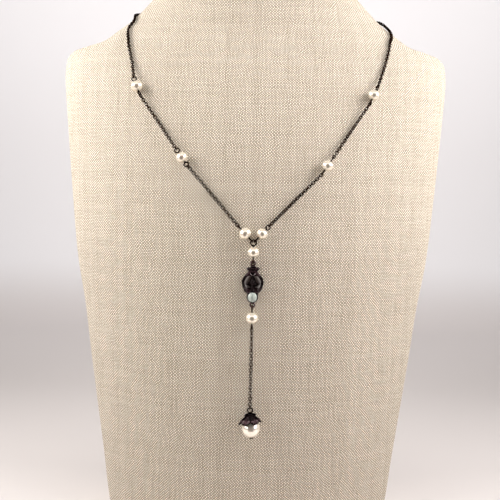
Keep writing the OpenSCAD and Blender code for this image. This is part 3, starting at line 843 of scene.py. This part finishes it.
def both_sides(half: Outline) -> np.ndarray:
    """Mirror a right half outline, from foot to top and smoothed, into a whole one."""
    right = catmull(np.array(half, float), 4)
    return np.concatenate([right, right[::-1] * [-1, 1]])


def ridge(off: np.ndarray, half: float) -> np.ndarray:
    """Give a half-round ridge of height one over its middle line."""
    return np.sqrt(np.clip(1 - (off / half) ** 2, 0, 1))


def spiral(
    u: np.ndarray, v: np.ndarray, turns: float, reach: float, hand: int, start: float
) -> np.ndarray:
    """Shape a coiled ridge round the origin, full inside its reach.

    Args:
        u: Places across.
        v: Places up.
        turns: How often the ridge goes round.
        reach: Radius of the coil.
        hand: 1 or -1, the way round.
        start: Degrees at which the ridge ends outside.

    Returns:
        Height from 0 to 1.
    """
    radius = np.hypot(u, v)
    turn = hand * np.arctan2(v, u) / (2 * np.pi) - start / 360
    phase = radius / reach * turns - turn
    off = 2 * np.abs(phase - np.round(phase))
    return ridge(off, 0.9) * np.clip((reach - radius) / 0.18, 0, 1)


def all_corners(marks: np.ndarray) -> np.ndarray:
    """Tell the cells of a grid whose four corners are all marked."""
    return marks[:-1, :-1] & marks[:-1, 1:] & marks[1:, 1:] & marks[1:, :-1]


def borders(cells: np.ndarray) -> tuple[np.ndarray, np.ndarray]:
    """Tell the corners that cells use, and those on the cells' border."""
    ends = ((0, 1), (1, 0))
    touching = sum(np.pad(cells, (down, across)).astype(int) for down in ends for across in ends)
    return touching > 0, (touching > 0) & (touching < 4)


def torus(
    centre: Place, radius: float, wire: float
) -> tuple[np.ndarray, np.ndarray]:
    """Build a ring of round wire lying in the x-y plane.

    Args:
        centre: Its middle.
        radius: Radius of the wire's middle line.
        wire: Thickness of the wire.

    Returns:
        Points and quads.
    """
    around, sides = 48, 16
    a = 2 * np.pi * np.arange(around)[:, None] / around
    b = 2 * np.pi * np.arange(sides)[None, :] / sides
    reach = radius + wire / 2 * np.cos(b)
    points = np.stack(
        [reach * np.cos(a), reach * np.sin(a), wire / 2 * np.sin(b) + 0 * a], axis=-1
    )
    quads = grid_faces(around, sides, True, True)[:, ::-1]
    return points.reshape(-1, 3) + np.array(centre), quads


@dataclass
class Medallion(Builder):
    """Cast medallion: rimmed frame, pointed leaf, bud, ribboned crown, scrolls and bezel."""

    cell: float = 0.08
    floor: float = 0.9
    thick: float = 1.8
    middle: float = 0.75
    edge: float = 0.42
    stone_r: float = 2.72
    bezel_r: float = 3.22
    rim: float = 1.25
    ring_r: float = 1.135
    ring_wire: float = 0.88
    ring_gap: float = 2.45
    teeth: int = 28
    crown_z: float = 15.0
    # Middle, right of the middle line, and radius of each pair of round forms
    scroll: Place = (3.75, 4.2, 1.15)
    curl: Place = (1.5, 15.85, 0.85)
    bead: Place = (3.0, 7.45, 0.5)
    frame_half: Outline = (
        (3.02, 1.85), (4.1, 3.04), (4.9, 4.34), (5.6, 6.03), (6.05, 7.85),
        (5.84, 9.54), (4.54, 11.88), (2.6, 13.96), (2.0, 15.0),
    )
    leaf_half: Outline = (
        (0.95, 2.9), (0.92, 4.8), (1.3, 6.0), (2.6, 6.9), (3.05, 7.45),
        (1.75, 8.2), (1.25, 9.6), (0.6, 10.8), (0.02, 11.7),
    )
    bud_half: Outline = (
        (0.02, 11.4), (1.0, 12.1), (1.85, 13.1), (1.8, 13.9), (1.2, 14.6), (0.02, 14.2),
    )
    crown: Outline = (
        (-2.1, 13.3), (-2.5, 14.4), (-3.2, 15.1), (-3.65, 15.9), (-2.7, 16.35), (-1.7, 16.5),
        (-1.0, 17.2), (0.1, 17.6), (1.2, 17.3), (1.8, 16.5), (2.9, 16.6), (3.95, 16.05),
        (3.3, 15.1), (2.6, 14.5), (2.1, 13.3),
    )

    def __post_init__(self) -> None:
        """Spread a grid over the casting and measure how deep it lies in each form."""
        across = np.arange(-6.5, 6.5 + self.cell, self.cell)
        upward = np.arange(-3.7, 18.2 + self.cell, self.cell)
        self.u, self.v = np.meshgrid(across, upward)
        halves = (self.frame_half, self.leaf_half, self.bud_half)
        self.frame_in, self.leaf_in, self.bud_in, self.crown_in = (
            inside(self.u, self.v, rows)
            for rows in [*(both_sides(half) for half in halves), np.array(self.crown)]
        )

    def from_pair(self, pair: Place) -> np.ndarray:
        """Measure how far the grid lies from the nearer one of two round forms."""
        return np.hypot(np.abs(self.u) - pair[0], self.v - pair[1])

    def silhouette(self) -> np.ndarray:
        """Measure how deep the grid lies in the whole casting, in millimetres."""
        parts = [
            self.frame_in,
            self.crown_in,
            self.bezel_r - np.hypot(self.u, self.v),
            self.scroll[2] - self.from_pair(self.scroll),
        ]
        # A smooth union leaves a fillet where two shapes meet
        blend = 0.18
        return blend * np.log(sum(np.exp(part / blend) for part in parts))

    def relief(self) -> np.ndarray:
        """Raise the face over the back plane, in millimetres."""
        u, v, wide = self.u, self.v, np.abs(self.u)
        face = self.floor + 0.12 * np.clip((v - 6) / 6, -1, 1) ** 2
        beads = 0.1 * np.cos(2 * np.pi * v / 1.35) * np.where(u > 0, 1.0, 0.5)
        rim = ridge(self.frame_in - self.rim / 2, self.rim / 2)
        # The floor of the crescents is dished, its outer side curving up to the rim
        dish = 0.6 * np.clip(1 - (self.frame_in - self.rim) / 1.8, 0, 1) ** 1.6
        face = face + dish * (self.frame_in > 0.5 * self.rim)
        face = np.maximum(face, self.floor + (1.2 + beads * (v < 11.5)) * rim)

        vein = 0.3 * np.exp(-((u / 0.16) ** 2)) * (v < 10.6)
        ribs = 0.14 * np.cos(2 * np.pi * (v - 0.9 * wide) / 1.1)
        leaf = self.floor + 0.35 + np.clip(self.leaf_in * 1.1, 0, 0.95) - vein + ribs
        face = np.where(self.leaf_in > 0, np.maximum(face, leaf), face)
        off = self.from_pair(self.bead)
        bead = self.floor + 0.55 + 0.75 * ridge(off, self.bead[2])
        face = np.where(off < self.bead[2], np.maximum(face, bead), face)

        x, y, reach = self.scroll
        for side in (-1, 1):
            coil = spiral(u - side * x, v - y, 1.6, reach, -side, 90)
            near = np.hypot(u - side * x, v - y) < reach
            face = np.where(near, self.floor + 0.25 + 1.05 * coil, face)

        fold_line = (v - 14.2) * 0.86 - wide * 0.5
        folds = 0.5 + 0.5 * np.cos(2 * np.pi * fold_line / 1.15)
        crown = self.floor + 0.45 + 0.75 * folds + 0.2 * np.clip(wide / 3, 0, 1)
        face = np.where(self.crown_in > 0, np.maximum(face * (v < 14.3), crown), face)
        x, y, reach = self.curl
        for side in (-1, 1):
            coil = spiral(u - side * x, v - y, 1.3, reach, side, 0)
            near = np.hypot(u - side * x, v - y) < reach
            face = np.where(near, np.maximum(crown * 0.8, self.floor + 0.4 + coil), face)

        lip = self.floor + 0.55 + 0.95 * ridge(self.bud_in - 0.32, 0.34)
        hollow = self.floor + 0.1 + np.clip(self.bud_in - 0.6, 0, 0.5)
        bud = np.where(self.bud_in < 0.64, lip, hollow)
        face = np.where(self.bud_in > 0, bud, face)

        radius = np.hypot(u, v)
        wall = (self.bezel_r + self.stone_r) / 2
        bezel = self.floor + 1.2 * ridge(radius - wall, 0.3)
        milling = 0.06 * np.cos(self.teeth * np.arctan2(v, u))
        face = np.where(radius < self.bezel_r + 0.1, bezel + milling * (radius > wall), face)
        return np.where(radius < self.stone_r, self.floor, face)

    def polish(self) -> np.ndarray:
        """Say how bare the plating is: bright in the smooth crescents, dark on the leaf."""
        v, depth = self.v, self.frame_in
        crescent = (depth > self.rim + 0.3) & (self.leaf_in < -0.25) & (v < 11.6)
        scroll = (self.from_pair(self.scroll) < self.scroll[2]) | (v > 11.9) | (v < 5.2)
        share = np.where(scroll & (depth > 0.3 * self.rim), 0.3, -0.3)
        share = np.where(self.crown_in > 0.3, 0.18, share)
        share = np.where(crescent & ~scroll, 0.9, share)
        return np.where(self.leaf_in > 0, -0.5, share)

    def build(self) -> None:
        """Cast the medallion where the CAD node hangs."""
        u, v, depth = self.u, self.v, self.silhouette()
        cells = all_corners(depth > -0.35 * self.cell)
        used, border = borders(cells)
        # A cell with no inner corner would be a flap without thickness
        while all_corners(border).any():
            cells &= ~all_corners(border)
            used, border = borders(cells)

        # Border points move onto the outline itself, so that it runs smooth
        fall_v, fall_u = np.gradient(depth, self.cell)
        steep = np.maximum(np.hypot(fall_u, fall_v), 1e-6)
        u_at = np.where(border, u - depth * fall_u / steep, u)
        v_at = np.where(border, v - depth * fall_v / steep, v)
        face = self.relief()
        rounding = ridge(1 - np.clip(depth / self.edge, 0, 1), 1.0)
        front = np.where(border, self.middle, self.middle + (face - self.middle) * rounding)
        back = np.where(border, self.middle, self.middle * (1 - rounding))

        # Highs over the blurred face are worn, lows beside them stay dark
        soft = np.where(used, front, 0)
        for _ in range(40):
            soft = sum(np.roll(soft, way, axis) for axis in (0, 1) for way in (1, -1)) / 4
        wear = np.clip(self.polish() + (front - soft) / 1.3 - 0.35 * (1 - rounding), 0, 1)

        number = np.cumsum(used.ravel()).reshape(used.shape) - 1
        under = used & ~border
        total = int(used.sum())
        number_back = np.where(
            border, number, total + np.cumsum(under.ravel()).reshape(used.shape) - 1
        )
        # A cell with one inner corner starts there, so that neither half lies flat on the border
        r, c = np.nonzero(cells)
        outer = np.stack([border[r, c], border[r, c + 1], border[r + 1, c + 1], border[r + 1, c]])
        start = np.where(outer.sum(axis=0) == 3, np.argmin(outer, axis=0), 0)
        turns = (np.arange(4)[:, None] + start) % 4
        at = r + (turns > 1), c + ((turns == 1) | (turns == 2))
        faces = [number[at].T, number_back[at][[0, 3, 2, 1]].T]
        points = [
            np.stack([u_at[used], v_at[used], front[used]], axis=1),
            np.stack([u_at[under], v_at[under], back[under]], axis=1),
        ]
        marks = [wear[used], np.full(int(under.sum()), 0.45)]
        top_ring = self.crown_z + self.ring_gap + self.ring_r
        for height in (top_ring, -self.bezel_r - self.ring_r):
            ring, quads = torus((0, height, self.thick / 2), self.ring_r, self.ring_wire)
            faces.append(quads + sum(len(part) for part in points))
            points.append(ring)
            marks.append(np.full(len(ring), 0.5))

        local = np.concatenate(points)
        stone_low, stone_high = node_box("medallion_stone")
        middle = (stone_low + stone_high) / 2
        plane = node_box("medallion")[1][1]
        placed = np.stack(
            [middle[0] + local[:, 0], plane - local[:, 2], middle[2] + local[:, 1]], axis=1
        )
        quads, wear = np.concatenate(faces), np.concatenate(marks)
        piece = make_piece("cast_medallion", placed, quads, self.finishes.cast, Slot.CAST, wear)
        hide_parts("medallion")


@dataclass
class DropCap(Builder):
    """Leafy bead cap: collar, and six leaves with a rib, side scrolls and a curled tip."""

    around: int = 288
    rows: int = 56
    wall: float = 0.55
    radius: float = 6.0
    height: float = 4.9
    pearl_r: float = 5.05
    play: float = 0.14
    hole_r: float = 0.52
    collar_r: float = 1.6
    scroll_at: float = 1.35
    scroll_r: float = 0.95
    flutes: int = 24
    leaves: int = 6
    lean: float = 4.0
    foot_share: float = 0.3
    # Share of the height and share of the radius, from the collar down to the rim
    bell: Outline = (
        (1, 0.46), (0.975, 0.52), (0.93, 0.545), (0.88, 0.53), (0.82, 0.49), (0.76, 0.51),
        (0.69, 0.57), (0.52, 0.70), (0.33, 0.83), (0.14, 0.93), (0, 1),
    )

    def build(self) -> None:
        """Cast the cap over the drop's pearl."""
        foot = self.foot_share * 2 * self.pearl_r
        shares, widths = np.array(self.bell).T
        t = np.linspace(1, 0, self.rows)[:, None]
        angle = np.linspace(0, 360, self.around, endpoint=False)[None, :]
        bell = np.interp(t, shares[::-1], widths[::-1]) * self.radius
        per = 360 / self.leaves
        off = (angle + 90) % per - per / 2
        share = np.abs(off) / (per / 2)

        # The rim dips to a point at each leaf and rises to a notch between two
        swing = 0.25 * np.sin(np.radians(angle * 2 + 40)) + 0.55 * np.cos(np.radians(angle))
        swing += 0.6 * np.clip(-np.sin(np.radians(angle)), 0, 1)
        rim = foot - 0.45 + 1.25 * share**2.2 + swing
        lower = np.clip((0.7 - t) / 0.7, 0, 1)
        z = foot + t * self.height + (rim - foot) * lower**1.4
        spread = bell * np.radians(off)
        rib = 0.4 * np.exp(-((spread / 0.34) ** 2)) * lower**0.5
        gap = np.radians(per / 2 - np.abs(off)) * bell
        groove = -0.65 * np.exp(-((gap / 0.4) ** 2)) * lower
        down = (0.62 - t) * self.height
        at = self.scroll_at
        coil = spiral(np.abs(spread) - at, down - at, 1.4, self.scroll_r, 1, 60)
        flutes = 0.1 * np.cos(np.radians(angle * self.flutes)) * ((t > 0.84) & (t < 0.97))
        curled = np.clip((0.22 - t) / 0.22, 0, 1)
        tip = 0.35 * np.sin(np.pi * curled) * (1 - share**1.5)
        relief = rib + groove + 0.42 * coil + flutes
        reach = -0.42 * np.cos(np.radians(angle)) * lower
        outer = bell + relief + tip + reach

        # The inner side follows the leaves and stays clear of the pearl
        clear = self.pearl_r + self.play + 0.05
        ball = np.sqrt(np.clip(clear**2 - z**2, 0, None))
        hollow = t < 0.42
        inner = np.maximum(outer - self.wall, ball)
        outer = np.maximum(outer, inner + 0.2)
        inner_rows = [np.stack([inner[k], z[k]]) for k in range(self.rows)[::-1] if hollow[k, 0]]
        roof = clear + 0.02
        reach_in, high = inner_rows[-1]
        top = foot + self.height
        flat = np.ones(self.around)
        roof_rows = [
            np.stack([reach_in * k + self.hole_r * (1 - k), np.maximum(flat * roof, high * k)])
            for k in (0.66, 0.33, 0.0)
        ]
        collar = ((self.hole_r, top - 0.5), (self.hole_r, top), (self.collar_r, top + 0.05))
        collar_rows = [np.stack([flat * radius, flat * level]) for radius, level in collar]
        outer_rows = [np.stack([outer[k], z[k]]) for k in range(self.rows)]
        sections = np.array([*collar_rows, *outer_rows, *inner_rows, *roof_rows])
        turned = np.radians(angle[0])
        local = np.stack(
            [sections[:, 0] * np.cos(turned), sections[:, 0] * np.sin(turned), sections[:, 1]],
            axis=-1,
        ).reshape(-1, 3)
        wear = np.full(sections[:, 0].shape, 0.35)
        first = len(collar_rows)
        wear[first : first + self.rows] = np.clip(0.1 + relief * 1.2, 0, 1)

        low, high = node_box("drop_pearl")
        lean = Matrix.Rotation(math.radians(-self.lean), 3, "Y")
        placed = local @ np.array(lean).T + (low + high) / 2
        quads = grid_faces(len(sections), self.around, True, True)[:, ::-1]
        cast = self.finishes.cast
        piece = make_piece("leafy_cap", placed, quads, cast, Slot.CAST, wear.ravel())
        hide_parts("drop_cap")


@dataclass
class Necklace(Builder):
    """Pearls, pins, chains and stone of the CAD frame with their finishes."""

    def build(self) -> None:
        """Give every shown CAD node its finish."""
        kinds = {
            "chain_": self.finishes.chain,
            "clasp": self.finishes.pin,
            "pearl_": self.finishes.pearl,
            "eyepin_": self.finishes.pin,
            "medallion_stone": self.finishes.stone,
            "drop_pearl": self.finishes.drop_pearl,
            "drop_pin": self.finishes.pin,
        }
        for name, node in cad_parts.items():
            for start, material in kinds.items():
                if name.startswith(start):
                    node.data.materials.clear()
                    node.data.materials.append(material)
                    LOG.info("%s: %s", name, material.name)


@dataclass
class Studio(Builder):
    """Pale sweep, a dark sheet as painted reflection of the dim room, soft lights all round, and
    the camera at the picture's place.
    """

    target: Place = (-1.25, -59.01, 167.5)
    distance: float = 450.0
    view_angle: float = 34.0
    sensor: float = 36.0
    elevation: float = 3.0
    roll: float = 1.2

    def camera(self) -> None:
        """Set the camera at the picture's viewing angle."""
        data = bpy.data.cameras.new("camera")
        data.sensor_width = self.sensor
        data.lens = self.sensor / 2 / math.tan(math.radians(self.view_angle / 2))
        data.clip_end = 20
        camera = bpy.data.objects.new("camera", data)
        tilt = math.radians(self.elevation)
        back = Vector((0, -math.cos(tilt), math.sin(tilt)))
        camera.location = (Vector(self.target) + back * self.distance) * MM
        turn = Matrix.Rotation(math.radians(self.roll), 3, "Z")
        camera.matrix_world = Matrix.Translation(camera.location) @ (
            back.to_track_quat("Z", "Y").to_matrix() @ turn
        ).to_4x4()
        bpy.context.scene.collection.objects.link(camera)
        bpy.context.scene.camera = camera

    def sweep(self) -> None:
        """Lay the pale paper on the table and up behind it."""
        before, behind, bend, half, top = -3000.0, 1050.0, 300.0, 3200.0, 2400.0
        turns = np.radians(np.linspace(0, 90, 24))
        curve = [(behind - bend + bend * math.sin(t), bend - bend * math.cos(t)) for t in turns]
        profile = [(before, 0.0), *curve, (behind, top)]
        sides = np.linspace(-half, half, 9)
        points = np.array([[x, y, z] for y, z in profile for x in sides])
        faces = grid_faces(len(profile), len(sides))
        piece = make_piece("paper_sweep", points, faces, self.finishes.paper)

    def flag(self) -> None:
        """Stand a dark sheet behind the camera and before the table, as a painted reflection of
        the dim room there.
        """
        # Place before the chest, height and half width, from the table's edge upwards
        outline = (
            (-190.0, 3.0, 84.0), (-330.0, 3.0, 180.0), (-700.0, 3.0, 380.0),
            (-702.0, 200.0, 330.0), (-704.0, 400.0, 290.0), (-706.0, 640.0, 220.0),
        )
        points = np.array([[x * half, y, z] for y, z, half in outline for x in (-1, 0, 1)])
        piece = make_piece("dim_room_sheet", points, grid_faces(len(outline), 3), self.finishes.flag)
        # Painted reflection: hidden from the camera, from shadows and from diffuse light, the
        # sheet only darkens what glossy surfaces mirror
        piece.visible_camera = False
        piece.visible_shadow = False
        piece.visible_diffuse = False

    def lights(self) -> None:
        """Hang soft side and top lights and one for the backdrop, in a dim room."""
        chest, shoulders = (0, self.target[1], 240), (0, -20, 300)
        # Name, middle, place that it faces, width and height, watts and colour
        rows = (
            ("window_left", (-660, -350, 450), chest, (640, 600), 3.4, "fffbf8"),
            ("window_right", (660, -350, 450), chest, (640, 600), 3.3, "fffbf9"),
            ("side_left", (-340, -110, 370), (-70, -20, 285), (240, 240), 2.1, "fffbf8"),
            ("side_right", (340, -110, 370), (70, -20, 285), (240, 240), 2.1, "fffbf9"),
            ("window_top", (0, -430, 680), shoulders, (900, 360), 1.1, "fffcfa"),
            ("ceiling", (0, -60, 760), shoulders, (700, 400), 0.3, "fffcfa"),
            ("backdrop", (0, 480, 720), (0, 1050, 620), (1800, 300), 4.8, "fffcfd"),
        )
        for name, place, aim, size, power, colour in rows:
            data = bpy.data.lights.new(name, "AREA")
            data.shape = "RECTANGLE"
            data.size, data.size_y = (s * MM for s in size)
            data.energy = power
            data.color = linear(colour)[:3]
            light = bpy.data.objects.new(name, data)
            light.location = Vector(place) * MM
            light.rotation_mode = "QUATERNION"
            light.rotation_quaternion = (Vector(place) - Vector(aim)).to_track_quat("Z", "Y")
            light.visible_camera = False
            bpy.context.scene.collection.objects.link(light)
        world = bpy.data.worlds.new("room")
        world.use_nodes = True
        tree = world.node_tree
        tree.nodes.clear()
        sky = add_node(tree, "ShaderNodeBackground", {"Color": linear("f6f1f0"), "Strength": 0.16})
        add_node(tree, "ShaderNodeOutputWorld", {"Surface": sky.outputs[0]})
        bpy.context.scene.world = world
        bpy.context.scene.view_settings.view_transform = "Standard"


def main() -> None:
    """Build the scene from the camera to the last link."""
    logging.basicConfig(level=logging.INFO, format="%(name)s: %(message)s")
    finishes = Finishes()
    studio = Studio(finishes)
    studio.camera()
    studio.sweep()
    studio.flag()
    studio.lights()
    left = ((75, 0.8815), (90, 0.891), (102, 0.8945), (114, 0.895), (126, 0.8935))
    right = ((81, 0.877), (90, 0.8855), (102, 0.8903), (114, 0.8925), (126, 0.8925))
    for kind in (NeckBust, Necklace, Medallion, DropCap):
        kind(finishes).build()
    for side, route in ((Side.LEFT, left), (Side.RIGHT, right)):
        BackChain(finishes, side, route).build()


if __name__ == "__main__":
    main()
